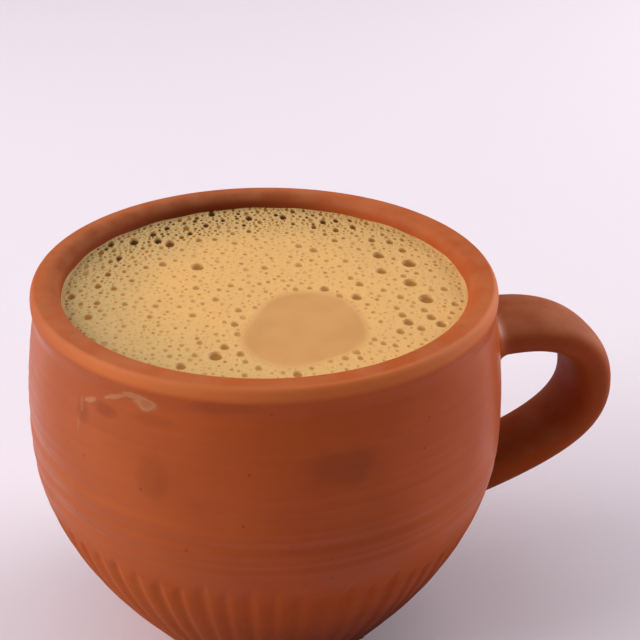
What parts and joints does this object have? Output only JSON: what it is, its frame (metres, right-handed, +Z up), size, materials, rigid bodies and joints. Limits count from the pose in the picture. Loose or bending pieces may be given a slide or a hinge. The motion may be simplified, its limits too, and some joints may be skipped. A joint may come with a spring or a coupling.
{
  "type": "masala chai in a clay cup",
  "caption": "Milky spiced tea with a bubbly froth in a round terracotta cup with a fluted lower bowl and an ear-shaped strap handle.",
  "frame": {"origin": "middle of the cup's flat foot, on the surface that it stands on", "axes": "+Z up along the cup's axis, +X towards the handle"},
  "size_m": [0.1185, 0.0918, 0.075],
  "materials": {
    "terracotta": "unglazed fired clay, burnished by hand, satin",
    "tea": "smooth milky liquid surface",
    "froth": "fine foam with open bubbles"
  },
  "bodies": {
    "root": {"cup": "terracotta", "tea": "tea", "froth": "froth"}
  },
  "joints": []
}
